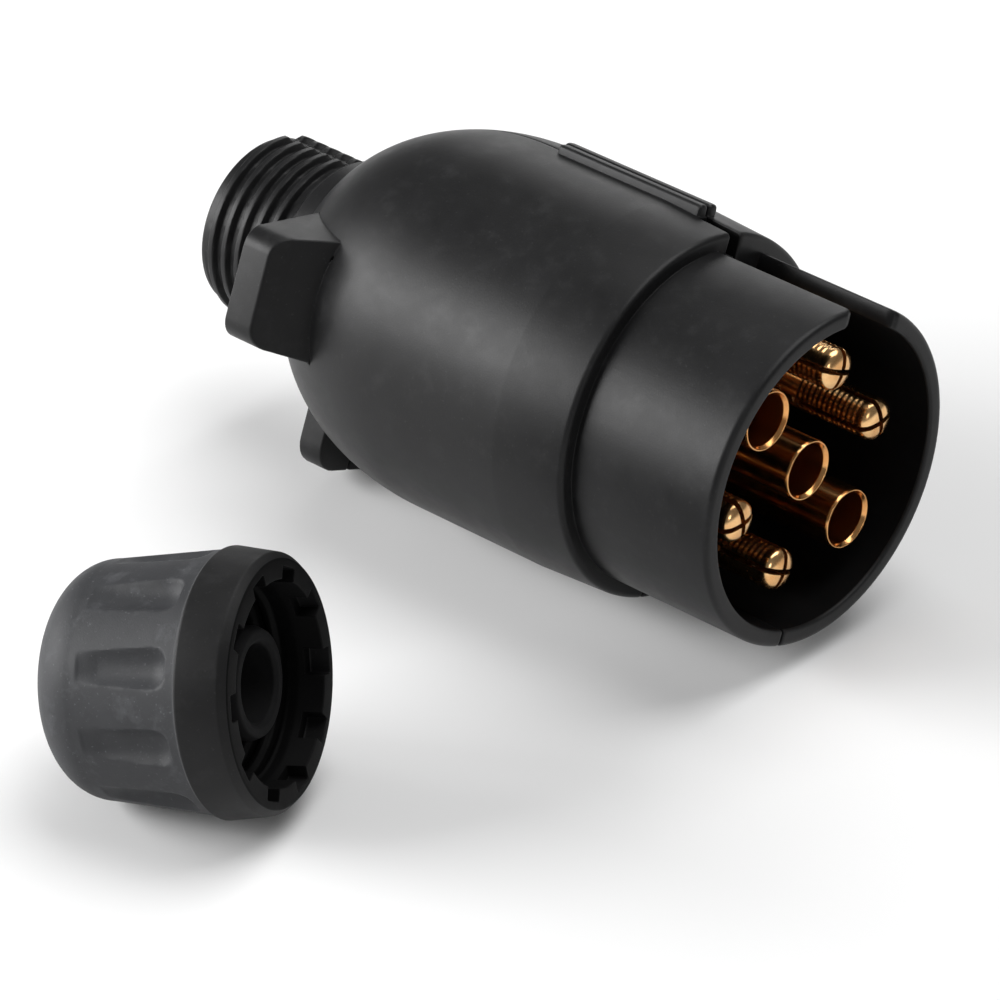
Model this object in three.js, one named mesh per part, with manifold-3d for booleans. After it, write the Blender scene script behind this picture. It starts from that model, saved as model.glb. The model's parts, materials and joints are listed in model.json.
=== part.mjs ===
// Seven-pole trailer plug: two half shells snapped round a contact carrier, with the gland nut
// unscrewed and lying beside it. Millimetres, +Z up. +X is the way the plug is pushed home.
// Each piece is drawn on its own axis, along X, with stations counted back from its front face.

import * as THREE from 'three';
import { mergeVertices } from 'three/addons/utils/BufferGeometryUtils.js';
import Module from 'manifold-3d';

const wasm = await Module();
wasm.setup();

// Fine parts fit with this much room between faces.
const GAP = 0.3;

// Shell, turned about the plug's axis. The shroud is the thin sleeve round the contacts.
const SHROUD = { radius: 20.25, bore: 18.2, length: 20, rimChamfer: 0.4 };
const BODY = { radius: 22.5, frontRadius: 22, frontEnd: 30, domeStart: 49, edge: 0.6 };
const DOME_OUTSIDE = { centre: 6, length: 24.7, endRadius: 12.6 };
const DOME_INSIDE = { centre: 4, length: 21, startRadius: 19.9 };
const COLLAR = { radius: 12, start: 71.9, end: 74.5 };
const SPOUT = { root: 10.5, bore: 7.6, end: 87.5, chamfer: 0.5 };
const THREAD = { section: 0.8, crest: 11.25, pitch: 2.1, start: 75.9, turns: 4.9 };
const CARRIER_SEAT = { front: 25, back: 33, radius: 19.6, lipRadius: 17.6, lipEnd: 35.4 };
const SEAM = 0.3;
const KEYWAY = { width: 7.9 };
const SEAM_NOTCH = { width: 1.9, floor: 19.2 };
const RIB = { front: 25, back: 47.5, width: 3.3, top: 23.6 };
const EAR = { front: 63.9, back: 68, tip: 26.5, tipWidth: 13.6 };
const EAR_ROOT = { front: 59.6, radius: 19.45, width: 15.2 };
const BOTTOM_EAR = { front: 65.7, back: 69.2, tip: 23.5, width: 12 };
const EAR_CORNER = 2.5;

// Contacts: one in the middle and six round it, the first of them under the keyway.
const CONTACT = { circle: 11.9, barrelStart: 33.3, barrelEnd: 43, wireBore: 1.8 };
const PIN = { tip: 1.9, radius: 2.5, domeLength: 2.1, barrel: 3.2, slot: 0.6, slotLength: 11 };
const TUBE = { tip: 2.6, radius: 3.65, bore: 3.1, boreDepth: 20, barrel: 3.4 };
const PIN_ANGLES = [0, 60, 180, 240];
const TUBE_ANGLES = [120, 300];
const MIDDLE_SCREW_ANGLE = 30;
const CARRIER = { lugFront: 17.5, lugWidth: 6, lugTop: 17.9, lugBottom: 16 };
const SCREW = { station: 39.8, shank: 1.2, head: 2.1, headHeight: 1.6, foot: 0.9, slot: 0.6 };

// Gland nut and what it holds.
const NUT = { mouth: 13.6, band: 14.4, bandEnd: 5.7, bandBack: 15.05, length: 25.6 };
const NUT_CONE = { start: 6.1, front: 14.6, end: 19.2, back: 13.3 };
const NUT_DOME = { centre: 5.6 };
const NUT_BORE = { lead: 11.4, leadDepth: 2.6, thread: 10.75, threadEnd: 16.7, seat: 9.4, floor: 21.7 };
const CABLE_HOLE = 5.2;
const FLUTES = 10;
const FLUTE = { radius: 2.2, front: 9.2, back: 16.1, frontDepth: 1.35, backDepth: 0.5 };
const NOTCH = { width: 3, radius: 12.8, depth: 2.4 };
const WASHER = { thickness: 1.3, radius: 9.1, bore: 5.4 };
const GROMMET = { front: 2.5, radius: 6.3, bore: 4.4, flange: 9, flangeThickness: 2.8 };

// The keyway and the contacts are clocked a little past the shell's seam.
const KEY_TURN = 1.7;

// How the two lie on a table: the plug's seam leans back, and the nut points its mouth at the plug.
const SEAM_LEAN = 21.5;
const NUT_MOUTH = { x: -22.5, y: -64.4 };
const NUT_HEADING = 21.9;
const NUT_TILT = 11;

const rad = THREE.MathUtils.degToRad;

// A closed three.js geometry as a manifold solid with its faces outward.
function solid(geometry) {
  const bare = new THREE.BufferGeometry();
  bare.setAttribute('position', geometry.getAttribute('position'));
  bare.setIndex(geometry.index);
  const merged = mergeVertices(bare, 1e-4);
  const corners = merged.index.array;
  const triangles = [];
  for (let k = 0; k < corners.length; k += 3) {
    const [a, b, c] = corners.subarray(k, k + 3);
    if (a !== b && b !== c && c !== a) triangles.push(a, b, c);
  }
  const vertProperties = new Float32Array(merged.getAttribute('position').array);
  const asManifold = (triVerts) => new wasm.Manifold(
    new wasm.Mesh({ numProp: 3, vertProperties, triVerts: new Uint32Array(triVerts) }));
  const body = asManifold(triangles);
  if (body.volume() > 0) return body;
  return asManifold(triangles.reverse());
}

function geometryOf(body) {
  const mesh = body.getMesh();
  const geometry = new THREE.BufferGeometry();
  geometry.setAttribute('position', new THREE.BufferAttribute(mesh.vertProperties, 3));
  geometry.setIndex(new THREE.BufferAttribute(mesh.triVerts, 1));
  geometry.computeVertexNormals();
  return geometry;
}

// A solid of revolution about X. The outline is a list of [station, radius].
function turned(outline, segments) {
  const points = outline.map(([station, radius]) => new THREE.Vector2(radius, -station));
  return solid(new THREE.LatheGeometry(points, segments).rotateZ(-Math.PI / 2));
}

function rod(front, back, radius, segments = 24) {
  return turned([[front, 0], [front, radius], [back, radius], [back, 0]], segments);
}

// A block between two stations, centred on y and reaching from one height to another.
function block(front, back, width, bottom, top, y = 0) {
  const box = new THREE.BoxGeometry(back - front, width, top - bottom);
  return solid(box.translate(-(front + back) / 2, y, (bottom + top) / 2));
}

// Stations and radii along a quarter of an ellipse, from its widest point down to endRadius.
function domeArc(start, centre, length, startRadius, endRadius, steps) {
  const height = startRadius - centre;
  const last = Math.acos((endRadius - centre) / height);
  return Array.from({ length: steps + 1 }, (_, k) => {
    const turn = last * k / steps;
    return [start + length * Math.sin(turn), centre + height * Math.cos(turn)];
  });
}

// The right-hand helix that the thread's rounded crest follows.
class Helix extends THREE.Curve {
  constructor(radius, pitch, start, turns) {
    super();
    Object.assign(this, { radius, pitch, start, turns });
  }

  getPoint(t, target = new THREE.Vector3()) {
    const turn = 2 * Math.PI * this.turns * t;
    const station = this.start + this.pitch * this.turns * t;
    return target.set(-station, this.radius * Math.cos(turn), -this.radius * Math.sin(turn));
  }
}

function thread() {
  const crest = new THREE.Shape().absarc(0, 0, THREAD.section, 0, 2 * Math.PI);
  const path = new Helix(THREAD.crest - THREAD.section, THREAD.pitch, THREAD.start, THREAD.turns);
  const steps = Math.round(THREAD.turns * 18);
  return solid(new THREE.ExtrudeGeometry(crest, { extrudePath: path, steps, curveSegments: 3 }));
}

// A plate standing out towards +Z with rounded outer corners, its half widths given near the
// axis and at the tip.
function earPlate(front, back, innerHalf, tipHalf, tip) {
  const shape = new THREE.Shape();
  shape.moveTo(-innerHalf, 9);
  shape.lineTo(innerHalf, 9);
  shape.lineTo(tipHalf, tip - EAR_CORNER);
  shape.absarc(tipHalf - EAR_CORNER, tip - EAR_CORNER, EAR_CORNER, 0, Math.PI / 2);
  shape.absarc(EAR_CORNER - tipHalf, tip - EAR_CORNER, EAR_CORNER, Math.PI / 2, Math.PI);
  shape.closePath();
  const plate = new THREE.ExtrudeGeometry(shape, {
    depth: back - front, bevelEnabled: false, curveSegments: 4,
  });
  // The drawing plane becomes YZ, and the plate grows backwards from its front face.
  const stand = new THREE.Matrix4().makeBasis(
    new THREE.Vector3(0, 1, 0), new THREE.Vector3(0, 0, 1), new THREE.Vector3(1, 0, 0));
  return solid(plate.applyMatrix4(stand).translate(-back, 0, 0));
}

// A side ear, its front face sloping forward from the tip to the dome.
function sideEar() {
  const rise = EAR.tip - EAR_ROOT.radius;
  const flare = (EAR_ROOT.width - EAR.tipWidth) / 2 / rise;
  const slope = Math.atan2(EAR.front - EAR_ROOT.front, rise);
  const behind = [-Math.cos(slope), 0, -Math.sin(slope)];
  const reach = EAR.front * Math.cos(slope) - EAR.tip * Math.sin(slope);
  const innerHalf = EAR_ROOT.width / 2 + flare * (EAR_ROOT.radius - 9);
  return earPlate(50, EAR.back, innerHalf, EAR.tipWidth / 2, EAR.tip).trimByPlane(behind, reach);
}

// Turns a piece from the seam's clocking to the key's.
function clocked(body) {
  return body.rotate([-KEY_TURN, 0, 0]);
}

// Both half shells as one, before they are parted along the seam.
function wholeShell() {
  const segments = 44;
  const outside = turned([
    [0, 0],
    [0, SHROUD.radius - SHROUD.rimChamfer],
    [SHROUD.rimChamfer, SHROUD.radius],
    [SHROUD.length, SHROUD.radius],
    [SHROUD.length, BODY.frontRadius - BODY.edge],
    [SHROUD.length + BODY.edge, BODY.frontRadius],
    [BODY.frontEnd, BODY.radius],
    ...domeArc(BODY.domeStart, DOME_OUTSIDE.centre, DOME_OUTSIDE.length, BODY.radius,
      DOME_OUTSIDE.endRadius, 8),
    [COLLAR.start, COLLAR.radius],
    [COLLAR.end, COLLAR.radius],
    [COLLAR.end, SPOUT.root],
    [SPOUT.end - SPOUT.chamfer, SPOUT.root],
    [SPOUT.end, SPOUT.root - SPOUT.chamfer],
    [SPOUT.end, 0],
  ], segments);
  const inside = turned([
    [-1, 0],
    [-1, SHROUD.bore],
    [CARRIER_SEAT.front, SHROUD.bore],
    [CARRIER_SEAT.front, CARRIER_SEAT.radius],
    [CARRIER_SEAT.back, CARRIER_SEAT.radius],
    [CARRIER_SEAT.back, CARRIER_SEAT.lipRadius],
    [CARRIER_SEAT.lipEnd, CARRIER_SEAT.lipRadius],
    [CARRIER_SEAT.lipEnd + 1, DOME_INSIDE.startRadius],
    ...domeArc(BODY.domeStart, DOME_INSIDE.centre, DOME_INSIDE.length, DOME_INSIDE.startRadius,
      SPOUT.bore, 5),
    [SPOUT.end + 1, SPOUT.bore],
    [SPOUT.end + 1, 0],
  ], segments);
  const half = BOTTOM_EAR.width / 2;
  const bottomEar = earPlate(BOTTOM_EAR.front, BOTTOM_EAR.back, half, half, BOTTOM_EAR.tip);
  return outside
    .add(thread())
    .add(block(RIB.front, RIB.back, RIB.width, BODY.radius - 1, RIB.top))
    .add(bottomEar.rotate([180, 0, 0]))
    .add(sideEar().rotate([90, 0, 0]))
    .add(sideEar().rotate([-90, 0, 0]))
    .subtract(inside)
    .subtract(clocked(block(-1, SHROUD.length, KEYWAY.width, SHROUD.bore - 4, BODY.radius + 2)))
    .subtract(block(SHROUD.length - 1, RIB.front, SEAM_NOTCH.width, SEAM_NOTCH.floor, RIB.top,
      -SEAM_NOTCH.width / 2));
}

// side is -1 for the half nearer -Y and 1 for the other.
function halfShell(whole, side) {
  const reach = 100;
  return whole.intersect(block(-reach, reach, reach, -reach, reach, side * (reach + SEAM) / 2));
}

// Turns a piece drawn on the axis out to its place on the contact circle.
function onCircle(body, angle) {
  return body.translate([0, 0, CONTACT.circle]).rotate([-angle, 0, 0]);
}

function contactBarrel(radius) {
  const hole = rod(0, 2 * radius, SCREW.shank + GAP, 16)
    .rotate([0, 90, 0]).translate([-SCREW.station, 0, 0]);
  return rod(CONTACT.barrelStart, CONTACT.barrelEnd, radius, 16)
    .subtract(rod(CONTACT.barrelStart + 2, CONTACT.barrelEnd + 1, CONTACT.wireBore, 12))
    .subtract(hole);
}

function splitPin() {
  const tip = domeArc(0, 0, PIN.domeLength, PIN.radius, 0, 4)
    .map(([reach, radius]) => [PIN.tip + PIN.domeLength - reach, radius]).reverse();
  const slotEnd = PIN.tip + PIN.slotLength;
  const slot = block(0, slotEnd, PIN.slot, -5, 5);
  return turned([...tip, [CONTACT.barrelStart + 1, PIN.radius], [CONTACT.barrelStart + 1, 0]], 20)
    .add(contactBarrel(PIN.barrel))
    .subtract(slot)
    .subtract(slot.rotate([90, 0, 0]));
}

function socketTube() {
  return rod(TUBE.tip, CONTACT.barrelStart + 1, TUBE.radius)
    .subtract(rod(0, TUBE.tip + TUBE.boreDepth, TUBE.bore))
    .add(contactBarrel(TUBE.barrel));
}

// A screw standing along +Z over the axis, its head just clear of the barrel.
function terminalScrew(barrel) {
  const neck = barrel + GAP;
  const head = neck + SCREW.headHeight;
  const outline = [
    [-SCREW.foot, 0], [-SCREW.foot, SCREW.shank], [-neck, SCREW.shank],
    [-neck, SCREW.head], [-head, SCREW.head], [-head, 0],
  ];
  return turned(outline, 14).rotate([0, -90, 0]).translate([-SCREW.station, 0, 0])
    .subtract(block(0, 60, SCREW.slot, head - 0.8, head + 1));
}

function contactCarrier() {
  let disc = rod(CARRIER_SEAT.front + GAP, CARRIER_SEAT.back - GAP, CARRIER_SEAT.radius - GAP, 48)
    .add(block(CARRIER.lugFront, CARRIER_SEAT.front + 1, CARRIER.lugWidth, CARRIER.lugBottom,
      CARRIER.lugTop));
  const pinHole = rod(0, 60, PIN.radius + GAP, 20);
  const tubeHole = rod(0, 60, TUBE.radius + GAP, 24);
  for (const angle of PIN_ANGLES) disc = disc.subtract(onCircle(pinHole, angle));
  for (const angle of TUBE_ANGLES) disc = disc.subtract(onCircle(tubeHole, angle));
  return disc.subtract(tubeHole);
}

function glandNut() {
  const domeLength = NUT.length - NUT_CONE.end;
  let nut = turned([
    [0, 0],
    [0, NUT.mouth],
    [0.9, NUT.band],
    [NUT.bandEnd, NUT.bandBack],
    [NUT_CONE.start, NUT_CONE.front],
    ...domeArc(NUT_CONE.end, NUT_DOME.centre, domeLength, NUT_CONE.back, NUT_DOME.centre, 6),
    [NUT.length, 0],
  ], 50);
  nut = nut.subtract(turned([
    [-1, 0],
    [-1, NUT_BORE.lead],
    [NUT_BORE.leadDepth, NUT_BORE.lead],
    [NUT_BORE.leadDepth + 0.9, NUT_BORE.thread],
    [NUT_BORE.threadEnd, NUT_BORE.thread],
    [NUT_BORE.threadEnd, NUT_BORE.seat],
    [NUT_BORE.floor, NUT_BORE.seat],
    [NUT_BORE.floor, CABLE_HOLE],
    [NUT.length + 1, CABLE_HOLE],
    [NUT.length + 1, 0],
  ], 40));
  const surface = (station) => NUT_CONE.front
    + (NUT_CONE.back - NUT_CONE.front) * (station - NUT_CONE.start) / (NUT_CONE.end - NUT_CONE.start);
  const frontHeight = surface(FLUTE.front) + FLUTE.radius - FLUTE.frontDepth;
  const backHeight = surface(FLUTE.back) + FLUTE.radius - FLUTE.backDepth;
  const lean = Math.atan2(backHeight - frontHeight, FLUTE.back - FLUTE.front);
  const scoop = solid(new THREE.CapsuleGeometry(FLUTE.radius, FLUTE.back - FLUTE.front, 2, 10)
    .rotateZ(Math.PI / 2).rotateY(lean)
    .translate(-(FLUTE.front + FLUTE.back) / 2, 0, (frontHeight + backHeight) / 2));
  const notch = block(-1, NOTCH.depth, NOTCH.width, NUT_BORE.thread, NOTCH.radius);
  const step = 360 / FLUTES;
  for (let k = 0; k < FLUTES; k += 1) {
    nut = nut.subtract(notch.rotate([k * step, 0, 0]));
    nut = nut.subtract(scoop.rotate([(k + 0.5) * step, 0, 0]));
  }
  return nut;
}

function thrustWasher() {
  const back = NUT_BORE.floor - GAP;
  return rod(back - WASHER.thickness, back, WASHER.radius, 32).subtract(rod(0, 40, WASHER.bore, 28));
}

function cableGrommet() {
  const flangeBack = NUT_BORE.floor - WASHER.thickness - 2 * GAP;
  return rod(GROMMET.front, flangeBack, GROMMET.radius, 32)
    .add(rod(flangeBack - GROMMET.flangeThickness, flangeBack, GROMMET.flange, 32))
    .subtract(rod(0, 40, GROMMET.bore, 28));
}

const MATERIALS = {
  shell: { color: 0x2b2b2d, roughness: 0.55 },
  carrier: { color: 0x101011, roughness: 0.6 },
  brass: { color: 0xc98a4b, roughness: 0.25, metalness: 1 },
  steel: { color: 0xb8b8b4, roughness: 0.35, metalness: 1 },
  nut: { color: 0x3c3d3f, roughness: 0.6 },
  rubber: { color: 0x121212, roughness: 0.85 },
  washer: { color: 0xd8d6cf, roughness: 0.5 },
};

function piece(name, body, material) {
  const mesh = new THREE.Mesh(geometryOf(body), new THREE.MeshStandardMaterial(MATERIALS[material]));
  mesh.name = name;
  return mesh;
}

const plug = new THREE.Group();
const whole = wholeShell();
plug.add(piece('near_shell', halfShell(whole, -1), 'shell'));
plug.add(piece('far_shell', halfShell(whole, 1), 'shell'));

const core = new THREE.Group();
core.rotation.x = -rad(KEY_TURN);
core.add(piece('contact_carrier', contactCarrier(), 'carrier'));
plug.add(core);

function addContact(kind, label, body, barrel, place) {
  core.add(piece(`${kind}_${label}`, place(body), 'brass'));
  core.add(piece(`terminal_screw_${label}`, place(terminalScrew(barrel)), 'steel'));
}

for (const angle of PIN_ANGLES) {
  addContact('split_pin', angle, splitPin(), PIN.barrel, (body) => onCircle(body, angle));
}
for (const angle of TUBE_ANGLES) {
  addContact('socket_tube', angle, socketTube(), TUBE.barrel, (body) => onCircle(body, angle));
}
addContact('socket_tube', 'middle', socketTube(), TUBE.barrel,
  (body) => body.rotate([-MIDDLE_SCREW_ANGLE, 0, 0]));

const gland = new THREE.Group();
gland.add(piece('gland_nut', glandNut(), 'nut'));
gland.add(piece('thrust_washer', thrustWasher(), 'washer'));
gland.add(piece('cable_grommet', cableGrommet(), 'rubber'));

// Sets a group down on the table.
function settle(group) {
  group.updateMatrixWorld(true);
  group.position.z -= new THREE.Box3().setFromObject(group, true).min.z;
}

plug.rotation.x = -rad(SEAM_LEAN);
gland.position.set(NUT_MOUTH.x, NUT_MOUTH.y, 0);
gland.rotation.set(0, -rad(NUT_TILT), rad(NUT_HEADING), 'ZYX');
settle(plug);
settle(gland);

const connector = new THREE.Group();
connector.add(plug, gland);
connector.updateMatrixWorld(true);
const footprint = new THREE.Box3().setFromObject(connector, true).getCenter(new THREE.Vector3());
connector.position.set(-footprint.x, -footprint.y, 0);
connector.updateMatrixWorld(true);

export default connector;
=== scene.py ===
"""The trailer plug and its loose gland nut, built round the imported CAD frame.

Pieces are drawn in millimetres on their own axis, along X, with stations counted back from the
front face, and are then placed by a matrix taken from the frame's mounts and joints.
"""
import json
import math

import bmesh
import bpy
import numpy as np
from mathutils import Matrix, Vector


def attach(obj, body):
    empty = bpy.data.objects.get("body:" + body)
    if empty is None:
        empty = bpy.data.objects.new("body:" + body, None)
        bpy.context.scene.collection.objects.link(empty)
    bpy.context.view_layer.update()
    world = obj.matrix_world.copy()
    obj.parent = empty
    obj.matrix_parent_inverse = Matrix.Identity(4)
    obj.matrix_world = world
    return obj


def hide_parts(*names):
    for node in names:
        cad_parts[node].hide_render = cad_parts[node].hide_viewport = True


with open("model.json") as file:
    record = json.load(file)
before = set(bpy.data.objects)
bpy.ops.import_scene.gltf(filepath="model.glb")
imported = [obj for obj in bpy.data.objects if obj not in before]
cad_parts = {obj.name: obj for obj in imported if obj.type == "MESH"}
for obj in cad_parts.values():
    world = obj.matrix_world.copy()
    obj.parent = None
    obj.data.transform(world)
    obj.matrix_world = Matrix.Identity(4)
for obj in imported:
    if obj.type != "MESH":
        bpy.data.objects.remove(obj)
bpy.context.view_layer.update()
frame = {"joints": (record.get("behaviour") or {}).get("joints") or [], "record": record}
MM = 0.001
MOUNTS = {m["name"]: m for m in frame["record"]["mounts"]}
JOINTS = {j["name"]: j for j in frame["joints"]}

# Sizes shared with the CAD part, in millimetres. Stations are counted from the shroud's front.
GAP = 0.3
SEAM = 0.3
SHROUD_RADIUS, SHROUD_BORE, SHROUD_LENGTH = 20.25, 18.2, 20.0
BODY_RADIUS, BODY_FRONT_RADIUS, BODY_FRONT_END = 22.5, 22.0, 30.0
DOME_START, DOME_LENGTH, DOME_CENTRE, DOME_END_RADIUS = 49, 24.7, 6, 12.6
HOLLOW_RADIUS, HOLLOW_LENGTH, HOLLOW_CENTRE = 19.9, 21, 4
COLLAR_START, COLLAR_END, COLLAR_RADIUS = 71.9, 74.5, 12.0
SPOUT_END, SPOUT_BORE = 87.5, 7.6
SEAT_FRONT, SEAT_BACK, SEAT_RADIUS = 25.0, 33.0, 19.6
LEDGE_BACK, LEDGE_BORE = 35.4, 17.6
THREAD_ROOT, THREAD_CREST, THREAD_PITCH, THREAD_ORIGIN = 10.5, 11.25, 2.1, 74.325
KEYWAY, KEY_TURN = 7.9, 1.7
CARRIER_FRONT, CARRIER_BACK, CARRIER_RADIUS = 25.3, 32.7, 19.3
CONTACT_CIRCLE, PIN_TIP, TUBE_TIP = 11.9, 1.9, 2.6
PIN_RADIUS, TUBE_RADIUS, TUBE_BORE = 2.5, 3.65, 3.1
BARREL_START, BARREL_END, PIN_BARREL, TUBE_BARREL = 33.3, 43.0, 3.2, 3.4
SCREW_STATION = 39.8
PIN_ANGLES = (0, 60, 180, 240)
TUBE_ANGLES = (120, 300)
MIDDLE_SCREW_ANGLE = 30
RIM_MOUNT_RADIUS = 19.0


def placed(x_axis, z_hint, origin):
    """The matrix that carries a piece drawn in millimetres along X to its place."""
    x = Vector(x_axis).normalized()
    y = Vector(z_hint).cross(x).normalized()
    z = x.cross(y)
    turn = Matrix((x, y, z)).transposed().to_4x4()
    return Matrix.Translation(Vector(origin)) @ turn @ Matrix.Scale(MM, 4)


lift = Vector(JOINTS["shell_lift"]["axis"])
rim_centre = Vector(MOUNTS["rim"]["pos_m"]) - lift * RIM_MOUNT_RADIUS * MM
PLUG = placed((1, 0, 0), lift.cross(Vector((1, 0, 0))), rim_centre)
CORE = PLUG @ Matrix.Rotation(-math.radians(KEY_TURN), 4, "X")
NUT = placed(JOINTS["nut_spin"]["axis"], (0, 0, 1), JOINTS["nut_spin"]["pos_m"])


# ---------------------------------------------------------------- mesh tools

def contour(corners, steps=4):
    """A closed outline through corners (station, radius, fillet), each corner rounded."""
    points = []
    count = len(corners)
    for k, (s, r, fillet) in enumerate(corners):
        here = np.array((s, r), float)
        if not fillet:
            points.append(here)
            continue
        before = np.array(corners[k - 1][:2], float) - here
        after = np.array(corners[(k + 1) % count][:2], float) - here
        lengths = np.linalg.norm(before), np.linalg.norm(after)
        before, after = before / lengths[0], after / lengths[1]
        half = math.acos(np.clip(before @ after, -1, 1)) / 2
        reach = min(fillet / math.tan(half), 0.49 * lengths[0], 0.49 * lengths[1])
        for t in np.linspace(0, 1, steps + 1):
            bend = (1 - t) ** 2 * before + t ** 2 * after
            points.append(here + reach * bend)
    return np.array(points)


def arc(start, centre, length, start_radius, end_radius, steps):
    """Stations and radii along a quarter of an ellipse, from its widest point down."""
    height = start_radius - centre
    last = math.acos((end_radius - centre) / height)
    turns = last * np.linspace(0, 1, steps + 1)
    return [(start + length * math.sin(t), centre + height * math.cos(t), 0) for t in turns]


def inset(outline, depth):
    """A closed outline moved inwards, whichever way round it runs."""
    ahead = np.roll(outline, -1, 0) - np.roll(outline, 1, 0)
    normal = np.stack([ahead[:, 1], -ahead[:, 0]], 1)
    normal /= np.linalg.norm(normal, axis=1)[:, None] + 1e-9
    x, y = outline.T
    area = np.sum(x * np.roll(y, -1) - np.roll(x, -1) * y)
    return outline - normal * depth * np.sign(area)


def add_object(name, data):
    """A new object in the scene, of a mesh, a light or a camera."""
    piece = bpy.data.objects.new(name, data)
    bpy.context.scene.collection.objects.link(piece)
    return piece


def make(name, vertices, faces):
    """A mesh object from vertices and faces, cleaned and with its faces pointing out."""
    mesh = bpy.data.meshes.new(name)
    mesh.from_pydata([tuple(map(float, v)) for v in vertices], [], faces)
    work = bmesh.new()
    work.from_mesh(mesh)
    bmesh.ops.remove_doubles(work, verts=work.verts, dist=1e-5)
    bmesh.ops.dissolve_degenerate(work, edges=work.edges, dist=1e-6)
    bmesh.ops.recalc_face_normals(work, faces=work.faces)
    work.to_mesh(mesh)
    work.free()
    return add_object(name, mesh)


def swept(columns, closed):
    """Vertices and faces of a skin over columns, each the same closed loop of points."""
    columns = np.asarray(columns, float)
    count, loop, _ = columns.shape
    faces = []
    for c in range(count if closed else count - 1):
        d = (c + 1) % count
        for p in range(loop):
            q = (p + 1) % loop
            faces.append((c * loop + p, c * loop + q, d * loop + q, d * loop + p))
    if not closed:
        faces.append(tuple(range(loop)))
        faces.append(tuple((count - 1) * loop + p for p in range(loop)))
    return columns.reshape(-1, 3), faces


def lathe(name, outline, segments=96):
    """A full turn of a closed outline of (station, radius) about X."""
    turns = np.linspace(0, 2 * math.pi, segments, endpoint=False)
    s, r = np.asarray(outline, float)[:, :2].T
    columns = [np.stack([-s, r * math.sin(t), r * math.cos(t)], 1) for t in turns]
    return make(name, *swept(columns, True))


def half_lathe(name, outline_at, side, start_gap, end_gap, segments):
    """Half a turn from the key round to the bottom on one side of the seam, with eased ends.
    outline_at(distance) is the outline that many millimetres round from the starting wall."""
    edge = 0.22
    eased = [(0.0, edge), (0.3 * edge, 0.3 * edge), (edge, 0.0)]
    half_way_round = math.pi * SHROUD_RADIUS
    columns = []

    def column(outline, angles):
        s, r = outline.T
        columns.append(np.stack([-s, side * r * np.sin(angles), r * np.cos(angles)], 1))

    for run, shrink in eased:
        outline = inset(outline_at(run), shrink)
        column(outline, np.arcsin((start_gap + run) / outline[:, 1]))
    radii = outline_at(0)[:, 1]
    first = np.arcsin((start_gap + edge) / radii)
    last = math.pi - np.arcsin((end_gap + edge) / radii)
    even = np.linspace(0, 1, segments)
    closer_at_ends = (1 - np.cos(math.pi * even)) / 2
    for t in (0.35 * closer_at_ends + 0.65 * even)[1:-1]:
        column(outline_at(float(t * (half_way_round - start_gap))), first + (last - first) * t)
    for run, shrink in reversed(eased):
        outline = inset(outline_at(half_way_round), shrink)
        column(outline, math.pi - np.arcsin((end_gap + run) / outline[:, 1]))
    return make(name, *swept(columns, False))


def plate(name, outline, thickness, ease, place, trim=None):
    """A flat plate with eased edges, drawn in XY and growing along +Z. trim is a point and a
    normal: what lies behind that plane is cut away before the edges are eased."""
    sharp_bend = 0.5
    work = bmesh.new()
    face = work.faces.new([work.verts.new((x, y, 0)) for x, y in outline])
    grown = bmesh.ops.extrude_face_region(work, geom=[face])
    raised = [v for v in grown["geom"] if isinstance(v, bmesh.types.BMVert)]
    bmesh.ops.translate(work, vec=(0, 0, thickness), verts=raised)
    if trim:
        everything = work.verts[:] + work.edges[:] + work.faces[:]
        bmesh.ops.bisect_plane(work, geom=everything, plane_co=trim[0], plane_no=trim[1],
                               clear_inner=True)
        bmesh.ops.holes_fill(work, edges=[e for e in work.edges if e.is_boundary])
    bmesh.ops.recalc_face_normals(work, faces=work.faces)
    if ease:
        sharp = [e for e in work.edges if e.calc_face_angle(0) > sharp_bend]
        bmesh.ops.bevel(work, geom=sharp, offset=ease, segments=3, profile=0.6,
                        affect="EDGES", clamp_overlap=True)
    mesh = bpy.data.meshes.new(name)
    work.to_mesh(mesh)
    work.free()
    mesh.transform(place)
    return add_object(name, mesh)


def slab(name, low, high, ease=0.0):
    """A block between two corners, with eased edges."""
    low, high = Vector(low), Vector(high)
    outline = [(low.x, low.y), (high.x, low.y), (high.x, high.y), (low.x, high.y)]
    return plate(name, outline, high.z - low.z, ease, Matrix.Translation((0, 0, low.z)))


def combine(base, others, operation):
    """Joins or cuts solids, and uses up the others."""
    for other in others:
        step = base.modifiers.new("step", "BOOLEAN")
        step.operation = operation
        step.solver = "MANIFOLD"
        step.object = other
        bpy.context.view_layer.update()
        shape = base.evaluated_get(bpy.context.evaluated_depsgraph_get())
        mesh = bpy.data.meshes.new_from_object(shape)
        if not len(mesh.polygons):
            raise RuntimeError(f"{operation} with {other.name} left nothing of {base.name}")
        base.modifiers.clear()
        base.data = mesh
        bpy.data.objects.remove(other)
    return base


def turn_x(degrees):
    """A turn about the plug's axis that carries +Z towards +Y, as the contacts are counted."""
    return Matrix.Rotation(-math.radians(degrees), 4, "X")


def finish_piece(piece, name, place, body, materials):
    """Places a piece, shades it, and hands it to the frame in the CAD node's stead."""
    sharp_degrees = 34
    piece.name = piece.data.name = name + "_fine"
    piece.data.transform(place)
    work = bmesh.new()
    work.from_mesh(piece.data)
    bmesh.ops.remove_doubles(work, verts=work.verts, dist=2e-7)
    bmesh.ops.recalc_face_normals(work, faces=work.faces)
    work.to_mesh(piece.data)
    work.free()
    piece.data.shade_smooth()
    piece.data.set_sharp_from_angle(angle=math.radians(sharp_degrees))
    piece.data.materials.clear()
    for material in materials:
        piece.data.materials.append(material)
    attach(piece, body)
    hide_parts(name)
    return piece


# ---------------------------------------------------------------- materials

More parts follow.
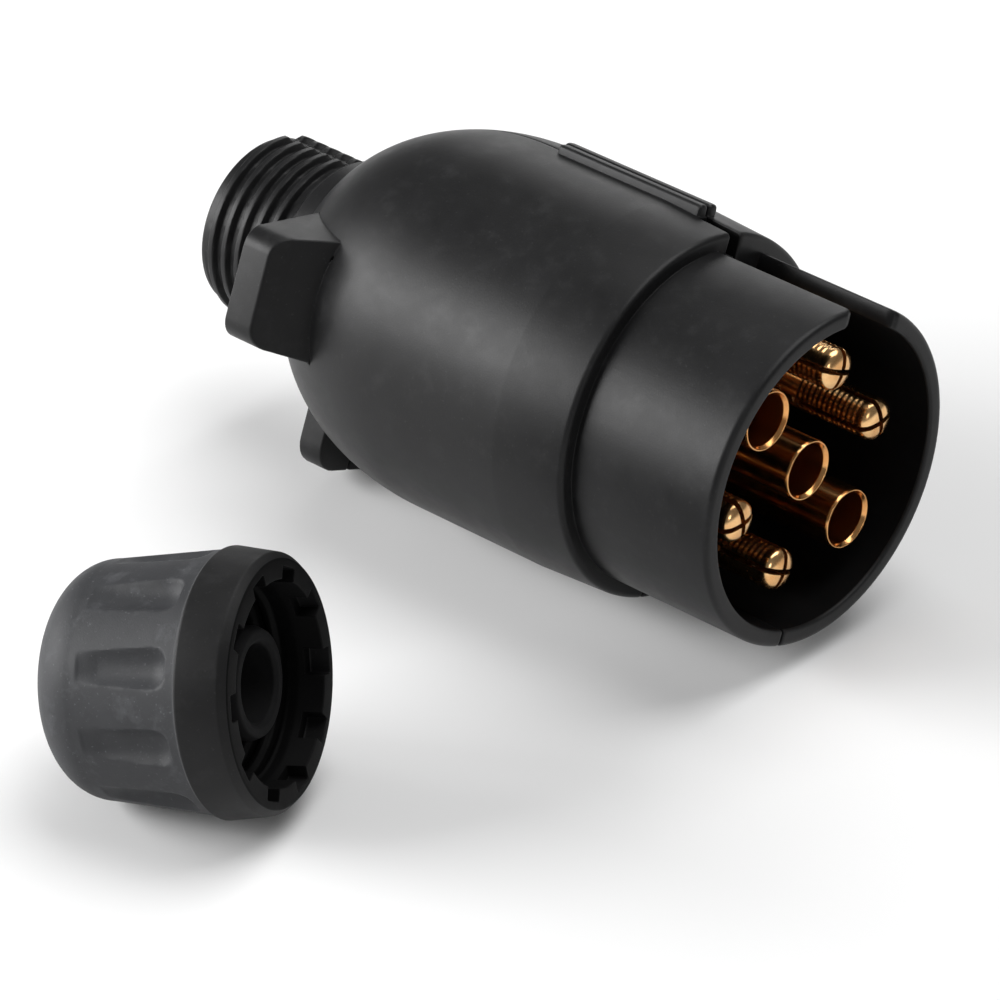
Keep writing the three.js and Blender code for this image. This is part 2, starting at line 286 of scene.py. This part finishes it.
def shader(name, color, roughness, metallic=0.0):
    """A plain material, with its node tree and its main shader node."""
    material = bpy.data.materials.new(name)
    material.use_nodes = True
    tree = material.node_tree
    bsdf = tree.nodes["Principled BSDF"]
    bsdf.inputs["Base Color"].default_value = (*color, 1)
    bsdf.inputs["Roughness"].default_value = roughness
    bsdf.inputs["Metallic"].default_value = metallic
    return material, tree, bsdf


def node(tree, kind, **values):
    """A new node. Names with a capital set its inputs, and the others its properties."""
    made = tree.nodes.new(kind)
    for key, value in values.items():
        key = key.replace("_", " ") if key[0].isupper() else key
        if key in made.inputs:
            made.inputs[key].default_value = value
        else:
            setattr(made, key, value)
    return made


def noise(tree, coordinates, scale, detail, roughness):
    made = node(tree, "ShaderNodeTexNoise", Scale=scale, Detail=detail, Roughness=roughness)
    tree.links.new(coordinates, made.inputs["Vector"])
    return made.outputs["Fac"]


def remap(tree, value, low, high, to_low, to_high):
    """A value stretched from one range to another, and held inside it."""
    made = tree.nodes.new("ShaderNodeMapRange")
    for key, number in zip(("From Min", "From Max", "To Min", "To Max"),
                           (low, high, to_low, to_high)):
        made.inputs[key].default_value = number
    tree.links.new(value, made.inputs["Value"])
    return made.outputs["Result"]


def mixed(tree, factor, a, b):
    """Two colours mixed, each a socket or a value."""
    made = node(tree, "ShaderNodeMix", data_type="RGBA", blend_type="MIX")
    for socket, value in ((made.inputs[0], factor), (made.inputs[6], a), (made.inputs[7], b)):
        if isinstance(value, bpy.types.NodeSocket):
            tree.links.new(value, socket)
        else:
            socket.default_value = value
    return made.outputs[2]


def bumped(tree, bsdf, height, edge_radius, strength, distance):
    """Gives a shader rounded edges, with a fine relief on top of them."""
    soft = node(tree, "ShaderNodeBevel", samples=4, Radius=edge_radius)
    bump = node(tree, "ShaderNodeBump", Strength=strength, Distance=distance)
    tree.links.new(height, bump.inputs["Height"])
    tree.links.new(soft.outputs["Normal"], bump.inputs["Normal"])
    tree.links.new(bump.outputs["Normal"], bsdf.inputs["Normal"])


def plastic(name, color, roughness, dust, specular, grain=0.00002):
    """Moulded plastic or rubber: a fine spark texture, cloudy handling marks, specks of dust."""
    material, tree, bsdf = shader(name, color, roughness)
    place = tree.nodes.new("ShaderNodeTexCoord").outputs["Object"]
    cloud = noise(tree, place, 90, 4, 0.6)
    patch = noise(tree, place, 310, 5, 0.65)
    speck = noise(tree, place, 2600, 2, 0.5)
    fine = noise(tree, place, 5200, 2, 0.6)
    dark = tuple(c * 0.72 for c in color)
    worn = tuple(min(1, c * 1.9 + 0.012) for c in color)
    pale = tuple(min(1, c * 2.6 + 0.02) for c in color)
    tone = mixed(tree, remap(tree, cloud, 0.35, 0.68, 0, 1), (*dark, 1), (*color, 1))
    scuff = remap(tree, patch, 0.54, 0.74, 0, dust)
    tone = mixed(tree, scuff, tone, (*worn, 1))
    dots = remap(tree, speck, 0.66, 0.76, 0, dust * 0.9)
    tone = mixed(tree, dots, tone, (*pale, 1))
    tree.links.new(tone, bsdf.inputs["Base Color"])
    rough = remap(tree, patch, 0.3, 0.75, roughness - 0.03, roughness + 0.07)
    tree.links.new(rough, bsdf.inputs["Roughness"])
    bumped(tree, bsdf, fine, 0.00022, 0.5, grain)
    bsdf.inputs["Specular IOR Level"].default_value = specular
    return material


def metal(name, color, roughness):
    """Turned metal: rings left by the lathe, and a warm cloudiness in the tone."""
    material, tree, bsdf = shader(name, color, roughness, 1.0)
    place = tree.nodes.new("ShaderNodeTexCoord").outputs["Object"]
    along = node(tree, "ShaderNodeMapping", Scale=(1, 0.02, 0.02))
    tree.links.new(place, along.inputs["Vector"])
    rings = noise(tree, along.outputs["Vector"], 7000, 3, 0.6)
    cloud = noise(tree, place, 420, 4, 0.6)
    warm = tuple(c * f for c, f in zip(color, (0.78, 0.62, 0.5)))
    tone = mixed(tree, remap(tree, cloud, 0.3, 0.72, 0, 1), (*warm, 1), (*color, 1))
    tree.links.new(tone, bsdf.inputs["Base Color"])
    rough = remap(tree, cloud, 0.3, 0.7, roughness + 0.1, roughness - 0.04)
    tree.links.new(rough, bsdf.inputs["Roughness"])
    bumped(tree, bsdf, rings, 0.00012, 0.6, 0.000004)
    return material


shell_plastic = plastic("shell_plastic", (0.010, 0.010, 0.0105), 0.4, 0.3, 0.22)
# A far darker copy of the shell plastic: painted shade, laid on the inner faces of the shell and of
# the nut.
inside_painted_shade = plastic("inside_painted_shade", (0.0022, 0.0022, 0.0024), 0.6, 0.1, 0.1)
# Far darker than the shell plastic, with less sheen: painted shade for the carrier deep inside the
# shroud.
carrier_painted_shade_plastic = plastic("carrier_painted_shade_plastic", (0.0018, 0.0018, 0.002), 0.6, 0.1, 0.08)
nut_plastic = plastic("nut_plastic", (0.036, 0.037, 0.040), 0.55, 0.5, 0.25, grain=0.00004)
band_plastic = plastic("band_plastic", (0.009, 0.009, 0.0095), 0.5, 0.25, 0.2)
grommet_rubber = plastic("grommet_rubber", (0.004, 0.004, 0.0045), 0.7, 0.15, 0.15)
washer_nylon = plastic("washer_nylon", (0.55, 0.54, 0.5), 0.45, 0.05, 0.35)
pin_brass = metal("pin_brass", (0.95, 0.62, 0.30), 0.2)
tube_brass = metal("tube_brass", (0.90, 0.50, 0.20), 0.17)
screw_steel = metal("screw_steel", (0.62, 0.62, 0.60), 0.3)


# ---------------------------------------------------------------- shell halves

BODY_OUTLINE = contour([
    (SHROUD_LENGTH, SHROUD_BORE, 0),
    (SHROUD_LENGTH, BODY_FRONT_RADIUS, 0.7),
    (BODY_FRONT_END, BODY_RADIUS, 6),
    *arc(DOME_START, DOME_CENTRE, DOME_LENGTH, BODY_RADIUS, DOME_END_RADIUS, 40),
    (COLLAR_START, COLLAR_RADIUS, 0.3),
    (COLLAR_END, COLLAR_RADIUS, 0.35),
    (COLLAR_END, THREAD_ROOT, 0.2),
    (SPOUT_END, THREAD_ROOT, 0.5),
    (SPOUT_END, SPOUT_BORE, 0.4),
    *reversed(arc(DOME_START, HOLLOW_CENTRE, HOLLOW_LENGTH, HOLLOW_RADIUS, SPOUT_BORE, 24)),
    (LEDGE_BACK + 1, HOLLOW_RADIUS, 0.4),
    (LEDGE_BACK, LEDGE_BORE, 0.3),
    (SEAT_BACK, LEDGE_BORE, 0.2),
    (SEAT_BACK, SEAT_RADIUS, 0.2),
    (SEAT_FRONT, SEAT_RADIUS, 0.2),
    (SEAT_FRONT, SHROUD_BORE, 0.2),
])


def shroud_half(side):
    """The sleeve round the contacts, from the keyway's wall to the bottom seam."""
    corner, back = 0.8, SHROUD_LENGTH + 1.6
    wall = KEYWAY / 2 + side * SHROUD_RADIUS * math.sin(math.radians(KEY_TURN))
    rim = contour([
        (0, SHROUD_BORE, 0.45), (0, SHROUD_RADIUS, 0.75),
        (back, SHROUD_RADIUS, 0), (back, SHROUD_BORE, 0),
    ], steps=6)

    def outline_at(distance):
        """The sleeve's section, its rim cut back to a rounded corner beside the keyway."""
        short = max(0.0, corner - distance)
        cut = corner - math.sqrt(corner ** 2 - short ** 2)
        outline = rim.copy()
        outline[:, 0] = cut + outline[:, 0] * (back - cut) / back
        return outline

    return half_lathe("shroud", outline_at, side, wall, SEAM / 2, segments=150)


def thread_ridge(stations, origin, turns):
    """A thread's form along a line, from 0 in its valleys to 1 on its crests."""
    foot, flank = 0.34, 0.2
    phase = ((stations - origin) / THREAD_PITCH - turns) % 1.0
    return np.clip((foot - np.abs(phase - 0.5)) / flank, 0, 1)


def run_out(stations, first, last):
    """1 along a thread, falling to 0 at its two ends."""
    length = 0.8
    return np.clip((stations - first) / length, 0, 1) * np.clip((last - stations) / length, 0, 1)


def thread_half(side):
    """Half turns of the spout's right-hand thread, with a flat left on each side of the seam."""
    first, last, step = 75.1, 86.9, 0.11
    inner, clear, seam_fade, least = THREAD_ROOT - 1.2, 0.5, 0.025, 0.3
    stations = np.arange(first, last + 0.01, step)
    start = math.asin((SEAM / 2 + clear) / THREAD_ROOT)
    columns = []
    for t in np.linspace(0, 1, 80):
        angle = start + (math.pi - 2 * start) * t
        around = angle if side > 0 else 2 * math.pi - angle
        ridge = thread_ridge(stations, THREAD_ORIGIN, around / (2 * math.pi))
        smooth = ridge * ridge * (3 - 2 * ridge) * run_out(stations, first, last)
        near_seam = least + (1 - least) * min(1.0, min(t, 1 - t) / seam_fade)
        outer = THREAD_ROOT - 0.03 + (THREAD_CREST - THREAD_ROOT) * smooth * near_seam
        s = np.concatenate([stations, stations[[-1, 0]]])
        r = np.concatenate([outer, [inner, inner]])
        columns.append(np.stack([-s, side * r * math.sin(angle), r * math.cos(angle)], 1))
    return make("thread", *swept(columns, False))


EAR_FRONT, EAR_BACK, EAR_TIP, EAR_HALF, EAR_CORNER = 63.9, 68.0, 26.45, 6.8, 2.5
EAR_ROOT_FRONT, EAR_ROOT_RADIUS, EAR_ROOT_HALF = 59.6, 19.45, 7.6
LOW_EAR_FRONT, LOW_EAR_BACK, LOW_EAR_TIP = 65.7, 69.2, 23.45
LOW_EAR_HALF, LOW_EAR_CORNER = 6.0, 3.2
EAR_FOOT, EAR_EASE = 9.0, 0.3
# Turns a plate drawn with its tip along +Y to stand along +Z and grow backwards.
UPRIGHT = Matrix(((0, 0, -1, 0), (1, 0, 0, 0), (0, 1, 0, 0), (0, 0, 0, 1)))


def rounded_corner(x, tip, corner, side):
    """Points round a tip's corner whose straight edge stands at x, on that side of the tip."""
    points = [(x + side * corner * (math.cos(t) - 1), tip - corner + corner * math.sin(t))
              for t in np.linspace(0, math.pi / 2, 9)]
    return points if side > 0 else points[::-1]


def side_ear(side):
    """An ear with a tapering outline, its front face sloping forward down to the dome."""
    start = 52.0
    rise = EAR_TIP - EAR_ROOT_RADIUS
    foot = EAR_ROOT_HALF + (EAR_ROOT_HALF - EAR_HALF) / rise * (EAR_ROOT_RADIUS - EAR_FOOT)
    outline = [(-foot, EAR_FOOT), (foot, EAR_FOOT),
               *rounded_corner(EAR_HALF, EAR_TIP, EAR_CORNER, 1),
               *rounded_corner(-EAR_HALF, EAR_TIP, EAR_CORNER, -1)]
    turned = Matrix.Rotation(-side * math.pi / 2, 4, "X") @ UPRIGHT
    return plate("ear", outline, EAR_BACK - start, EAR_EASE,
                 Matrix.Translation((-start, 0, 0)) @ turned,
                 trim=((0, EAR_TIP, EAR_FRONT - start), (0, EAR_ROOT_FRONT - EAR_FRONT, rise)))


def low_ear(side):
    """This half's part of the ear at the bottom."""
    seam, wall = -side * SEAM / 2, -side * LOW_EAR_HALF
    corner = rounded_corner(wall, LOW_EAR_TIP, LOW_EAR_CORNER, -side)
    outline = [(seam, LOW_EAR_TIP), (seam, EAR_FOOT), (wall, EAR_FOOT), *corner[::-side]]
    turned = Matrix.Rotation(math.pi, 4, "X") @ UPRIGHT
    return plate("ear", outline, LOW_EAR_BACK - LOW_EAR_FRONT, EAR_EASE,
                 Matrix.Translation((-LOW_EAR_FRONT, 0, 0)) @ turned)


def rib_half(side):
    """This half's bar of the rib over the seam; the near bar stops a little short of the other."""
    front, top, half_width, ease = 25.1, 23.55, 1.65, 0.6
    back = 46.8 if side < 0 else 47.4
    low, high = sorted((side * SEAM / 2, side * half_width))
    return slab("rib", (-back, low, BODY_RADIUS - 1.2), (-front, high, top), ease)


def shoulder_notch():
    """What the near half lacks beside the seam, where its shoulder meets the keyway."""
    return slab("notch", (-25.0, -1.9, 19.2), (-19.0, 0.5, 26), 0.15)


def shell_half(side):
    """One half shell: its wall, with what stands on it joined on."""
    body = half_lathe("half", lambda distance: BODY_OUTLINE, side, SEAM / 2, SEAM / 2, segments=110)
    combine(body, [shroud_half(side), thread_half(side), rib_half(side), side_ear(side),
                   low_ear(side)], "UNION")
    if side < 0:
        combine(body, [shoulder_notch()], "DIFFERENCE")
    return body


def repaint(piece, place, chosen, index):
    """Gives a piece's polygons another of its materials where chosen(station, radius) holds."""
    back = place.inverted()
    for polygon in piece.data.polygons:
        centre = back @ polygon.center
        if chosen(-centre.x, math.hypot(centre.y, centre.z)):
            polygon.material_index = index


# Where painted shade goes: the shell's inner faces, back from the mouth.
def shell_painted_shade_faces(station, radius):
    return 0.5 < station < 60 and radius < SHROUD_BORE + 0.06


for name, body, side in (("near_shell", "near_half", -1), ("far_shell", "far_half", 1)):
    half = finish_piece(shell_half(side), name, PLUG, body, [shell_plastic, inside_painted_shade])
    # Paints shade on the shell's inner faces with the darker copy of its plastic.
    repaint(half, PLUG, shell_painted_shade_faces, 1)


# ---------------------------------------------------------------- carrier and contacts

def on_circle(angle):
    """The place of a contact on the circle, at an angle from the keyway."""
    return turn_x(angle) @ Matrix.Translation((0, 0, CONTACT_CIRCLE))


def drill(name, front, back, radius, segments=64):
    outline = [(front, 0.0), (front, radius), (back, radius), (back, 0.0)]
    return lathe(name, outline, segments)


def contact_carrier():
    """The disc that holds the contacts, with a lug in the keyway."""
    pin_hole, tube_hole = 2.8, 3.95
    disc = lathe("carrier", contour([
        (CARRIER_FRONT, 0, 0), (CARRIER_FRONT, CARRIER_RADIUS, 0.3),
        (CARRIER_BACK, CARRIER_RADIUS, 0.3), (CARRIER_BACK, 0, 0),
    ]), 128)
    lug = slab("lug", (-CARRIER_FRONT - 1, -3, 16), (-17.5, 3, 17.9), 0.3)
    combine(disc, [lug], "UNION")
    holes = [(pin_hole, on_circle(angle)) for angle in PIN_ANGLES]
    holes += [(tube_hole, on_circle(angle)) for angle in TUBE_ANGLES]
    holes.append((tube_hole, Matrix.Identity(4)))
    for radius, place in holes:
        hole = drill("hole", 10, 50, radius)
        hole.data.transform(place)
        combine(disc, [hole], "DIFFERENCE")
    return disc


def at_screw(quarter_turn):
    """Stands a piece drawn along the axis upright at the terminal screw's station."""
    turn = Matrix.Rotation(quarter_turn * math.pi / 2, 4, "Y")
    return Matrix.Translation((-SCREW_STATION, 0, 0)) @ turn


def barrel_cuts(barrel):
    """The wire's bore from behind, and the hole that the terminal screw stands in."""
    wire = drill("wire", BARREL_START + 2, BARREL_END + 1, 1.8)
    screw = drill("screw", 0, 2 * barrel, 1.5, 48)
    screw.data.transform(at_screw(1))
    return [wire, screw]


def split_pin():
    """A domed pin split four ways, with rings turned behind the dome."""
    dome, slot_width, slot_length = 1.25, 0.66, 11
    ring_count, ring_pitch, ring_depth = 13, 0.72, 0.06
    tip = [(PIN_TIP + dome * (1 - math.cos(t)), PIN_RADIUS * math.sin(t) ** 0.85, 0)
           for t in np.linspace(0, math.pi / 2, 17)]
    rings = []
    for k in range(ring_count):
        start = PIN_TIP + dome + 0.45 + ring_pitch * k
        low = PIN_RADIUS - ring_depth
        rings += [(start, PIN_RADIUS, 0), (start + 0.14, low, 0), (start + 0.36, low, 0),
                  (start + 0.5, PIN_RADIUS, 0)]
    body = lathe("pin", contour([
        *tip, *rings, (BARREL_START, PIN_RADIUS, 0), (BARREL_START, PIN_BARREL, 0.3),
        (BARREL_END, PIN_BARREL, 0.3), (BARREL_END, 0, 0),
    ]), 72)
    end, wide = PIN_TIP + slot_length, 4
    upright = slab("slot", (-end, -slot_width / 2, -wide), (1, slot_width / 2, wide))
    level = slab("slot", (-end, -wide, -slot_width / 2), (1, wide, slot_width / 2))
    return combine(body, [upright, level, *barrel_cuts(PIN_BARREL)], "DIFFERENCE")


def socket_tube():
    """A tube with a bevelled mouth, blind at its foot."""
    foot = TUBE_TIP + 20
    body = lathe("tube", contour([
        (foot, 0, 0), (foot, TUBE_BORE, 0.5), (TUBE_TIP + 0.45, TUBE_BORE, 0.15),
        (TUBE_TIP, TUBE_BORE + 0.32, 0.06), (TUBE_TIP, TUBE_RADIUS - 0.12, 0.06),
        (TUBE_TIP + 0.3, TUBE_RADIUS, 0.1), (BARREL_START, TUBE_RADIUS, 0.05),
        (BARREL_START + 0.3, TUBE_BARREL, 0.1), (BARREL_END, TUBE_BARREL, 0.3),
        (BARREL_END, 0, 0),
    ]), 96)
    return combine(body, barrel_cuts(TUBE_BARREL), "DIFFERENCE")


def terminal_screw(barrel):
    """A slotted screw whose head stands a gap above a barrel of that radius."""
    shank, shank_radius, head_radius = 0.9, 1.2, 2.1
    neck = barrel + GAP
    top = neck + 1.6
    body = lathe("screw", contour([
        (-shank, 0, 0), (-shank, shank_radius, 0.25), (-neck, shank_radius, 0.05),
        (-neck, head_radius, 0.15), (-top, head_radius, 0.35), (-top, 0, 0),
    ]), 48)
    body.data.transform(at_screw(-1))
    slot = slab("slot", (-SCREW_STATION - 4, -0.3, top - 0.8), (-SCREW_STATION + 4, 0.3, top + 1))
    return combine(body, [slot], "DIFFERENCE")


finish_piece(contact_carrier(), "contact_carrier", CORE, "far_half", [carrier_painted_shade_plastic])
PLACES = {str(angle): on_circle(angle) for angle in (*PIN_ANGLES, *TUBE_ANGLES)}
PLACES["middle"] = turn_x(MIDDLE_SCREW_ANGLE)
for label, spot in PLACES.items():
    if label in map(str, PIN_ANGLES):
        finish_piece(split_pin(), f"split_pin_{label}", CORE @ spot, "far_half",
                     [pin_brass])
        barrel = PIN_BARREL
    else:
        finish_piece(socket_tube(), f"socket_tube_{label}", CORE @ spot, "far_half",
                     [tube_brass])
        barrel = TUBE_BARREL
    finish_piece(terminal_screw(barrel), f"terminal_screw_{label}", CORE @ spot, "far_half",
                 [screw_steel])


# ---------------------------------------------------------------- gland nut

# Stations here are counted from the nut's mouth.
NUT_LENGTH, FLUTE_COUNT, CABLE_HOLE = 25.6, 10, 5.2
NUT_MOUTH, NUT_MOUTH_BORE = 13.6, 11.4
BAND_START, BAND_FRONT, BAND_END, BAND_BACK = 0.9, 14.4, 5.7, 14.99
CONE_START, CONE_FRONT, CONE_END, CONE_BACK, CONE_CENTRE = 6.1, 14.6, 19.2, 13.3, 5.6
NUT_BORE, NUT_SEAT_START, NUT_SEAT, NUT_FLOOR = 11.25, 16.7, 9.4, 21.7


def flute_depth(station, turn):
    """How deep the finger scoops are at a station and an angle from a scoop's middle line."""
    front, back, front_run, back_run = 7.2, 18.3, 2.2, 2.5
    deepest, half_width, nut_radius = 1.35, 2.35, 13.8
    along = np.clip((station - front) / (back - front), 0, 1)
    rise = np.sqrt(1 - (1 - np.clip((station - front) / front_run, 0, 1)) ** 2)
    fall = 1 - 0.75 * along ** 1.5
    end = np.clip((back - station) / back_run, 0, 1) ** 0.5
    half = half_width * (1 - 0.25 * along) * np.sqrt(rise) + 1e-6
    profile = np.clip(1 - (np.abs(turn) * nut_radius / half) ** 2.4, 0, 1)
    return deepest * rise ** 0.7 * fall * end * profile


def nut_skin():
    """Stations and radii along the nut's outside, before its flutes."""
    mouth = contour([
        (0, NUT_MOUTH_BORE, 0.15), (0, NUT_MOUTH, 0.35), (BAND_START, BAND_FRONT, 0.5),
        (BAND_END, BAND_BACK, 0.3), (CONE_START, CONE_FRONT, 0.2), (CONE_END, CONE_BACK, 0),
        (NUT_LENGTH, CONE_CENTRE, 0), (NUT_LENGTH, CABLE_HOLE, 0),
    ])
    band = [tuple(p) for p in mouth if p[0] < CONE_START + 0.3]
    taper = (CONE_BACK - CONE_FRONT) / (CONE_END - CONE_START)
    cone = [(s, CONE_FRONT + taper * (s - CONE_START))
            for s in np.arange(CONE_START + 0.6, CONE_END, 0.2)]
    dome = [p[:2] for p in arc(CONE_END, CONE_CENTRE, NUT_LENGTH - CONE_END, CONE_BACK,
                               CONE_CENTRE + 0.15, 30)]
    return np.array(band + cone + dome).T


def gland_nut():
    """The nut, its flutes, its thread and its seat in one skin, with notches in its mouth."""
    stations, radii = nut_skin()
    first, last, crest_height = 4.2, 16.3, 0.5
    bore_stations = np.arange(NUT_SEAT_START - 0.1, 3.3, -0.15)
    crest = crest_height * run_out(bore_stations, first, last)
    seat_stations, seat_radii = np.array([
        (NUT_LENGTH, CABLE_HOLE + 0.3), (NUT_LENGTH - 0.3, CABLE_HOLE),
        (NUT_FLOOR + 0.2, CABLE_HOLE), (NUT_FLOOR, CABLE_HOLE + 0.2), (NUT_FLOOR, NUT_SEAT),
        (NUT_SEAT_START, NUT_SEAT), (NUT_SEAT_START, NUT_BORE - 0.15),
    ]).T
    lead_stations, lead_radii = (2.9, 2.6), (NUT_BORE, NUT_MOUTH_BORE)
    s = np.concatenate([stations, seat_stations, bore_stations, lead_stations])
    columns = []
    for t in np.linspace(0, 2 * math.pi, 400, endpoint=False):
        from_flute = ((t / (2 * math.pi) * FLUTE_COUNT) % 1.0 - 0.5) * 2 * math.pi / FLUTE_COUNT
        outside = radii - flute_depth(stations, from_flute)
        bore = NUT_BORE - crest * thread_ridge(bore_stations, first, t / (2 * math.pi))
        r = np.concatenate([outside, seat_radii, bore, lead_radii])
        columns.append(np.stack([-s, r * math.sin(t), r * math.cos(t)], 1))
    nut = make("nut", *swept(columns, True))
    notches = []
    for k in range(FLUTE_COUNT):
        notch = slab("notch", (-2.4, -1.5, 10.6), (1, 1.5, 12.8), 0.2)
        notch.data.transform(turn_x(360 * k / FLUTE_COUNT))
        notches.append(notch)
    return combine(nut, notches, "DIFFERENCE")


def nut_band(station, radius):
    return station < BAND_END + 0.2


# Where painted shade goes: the nut's mouth face and its inside.
def nut_painted_shade_faces(station, radius):
    return station < 0.2 or radius < 12.7 and station < 19


def thrust_washer():
    front, back, bore, rim = 20.1, 21.4, 5.4, 9.1
    return lathe("washer", contour([
        (front, bore, 0.2), (front, rim, 0.3), (back, rim, 0.3), (back, bore, 0.2),
    ]), 96)


def cable_grommet():
    """The rubber sleeve: a lip in front, a groove behind it, and a flange at its back."""
    front, back, bore, sleeve, groove = 2.5, 19.8, 4.4, 6.3, 6.0
    flange_front, flange = 17.0, 9.0
    return lathe("grommet", contour([
        (back, bore, 0.3), (front + 0.4, bore, 0.3), (front, bore + 0.5, 0.3),
        (front, sleeve - 0.4, 0.35), (front + 0.9, sleeve, 0.3), (5.2, sleeve, 0.2),
        (5.5, groove, 0.2), (6.1, groove, 0.2), (6.4, sleeve, 0.2),
        (flange_front, sleeve, 0.6), (flange_front, flange, 0.5), (back, flange, 0.5),
    ]), 128)


nut = finish_piece(gland_nut(), "gland_nut", NUT, "nut",
                   [nut_plastic, band_plastic, inside_painted_shade])
repaint(nut, NUT, nut_band, 1)
# Paints shade on the nut's mouth face and inside with the darker copy of the plastic.
repaint(nut, NUT, nut_painted_shade_faces, 2)
finish_piece(thrust_washer(), "thrust_washer", NUT, "washer", [washer_nylon])
finish_piece(cable_grommet(), "cable_grommet", NUT, "grommet", [grommet_rubber])


# ---------------------------------------------------------------- floor, lights, camera

def floor():
    """A wide pale floor at the ground."""
    size = 6.0
    mesh = bpy.data.meshes.new("floor")
    corners = [(-size, -size, 0), (size, -size, 0), (size, size, 0), (-size, size, 0)]
    mesh.from_pydata(corners, [], [(0, 1, 2, 3)])
    material, _, _ = shader("pale_floor", (0.86, 0.86, 0.86), 0.9)
    mesh.materials.append(material)
    add_object("floor", mesh)


def area_light(name, position, size, power):
    """A rectangular light that faces the object's middle."""
    data = bpy.data.lights.new(name, "AREA")
    data.shape = "RECTANGLE"
    data.size, data.size_y = size
    data.energy = power
    lamp = add_object(name, data)
    lamp.location = position
    inwards = Vector((0, 0, 0.02)) - Vector(position)
    lamp.rotation_euler = inwards.to_track_quat("-Z", "Y").to_euler()


def studio():
    """A dim white surround, and lights set where the shell and the nut mirror them."""
    world = bpy.data.worlds.new("studio")
    world.use_nodes = True
    backdrop = world.node_tree.nodes["Background"]
    backdrop.inputs["Color"].default_value = (1, 1, 1, 1)
    backdrop.inputs["Strength"].default_value = 0.16
    bpy.context.scene.world = world
    area_light("key", (-0.55, -0.68, 0.40), (0.55, 0.45), 9)
    area_light("top", (0.1, 0.3, 0.9), (0.8, 0.8), 7)
    area_light("side", (-0.75, -0.35, 0.2), (0.3, 0.5), 4.5)
    area_light("back", (-0.5, 0.75, 0.3), (0.4, 0.4), 1.0)
    area_light("glint", (0.75, -0.3, 0.3), (0.2, 0.2), 0.5)


def camera():
    """The place the object is seen from: turned 42.5 degrees to the right and 31 up."""
    azimuth, tilt = math.radians(42.54), math.radians(31.24)
    from_rim = Vector((0.4619, -0.55718, 0.43569))
    data = bpy.data.cameras.new("camera")
    data.sensor_width = 36
    data.lens = 272.3
    data.clip_end = 20
    view = add_object("camera", data)
    view.location = rim_centre + from_rim
    look = Vector((-math.sin(azimuth) * math.cos(tilt), math.cos(azimuth) * math.cos(tilt),
                   -math.sin(tilt)))
    view.rotation_euler = look.to_track_quat("-Z", "Y").to_euler()
    bpy.context.scene.camera = view


floor()
studio()
camera()
bpy.context.scene.view_settings.view_transform = "Standard"
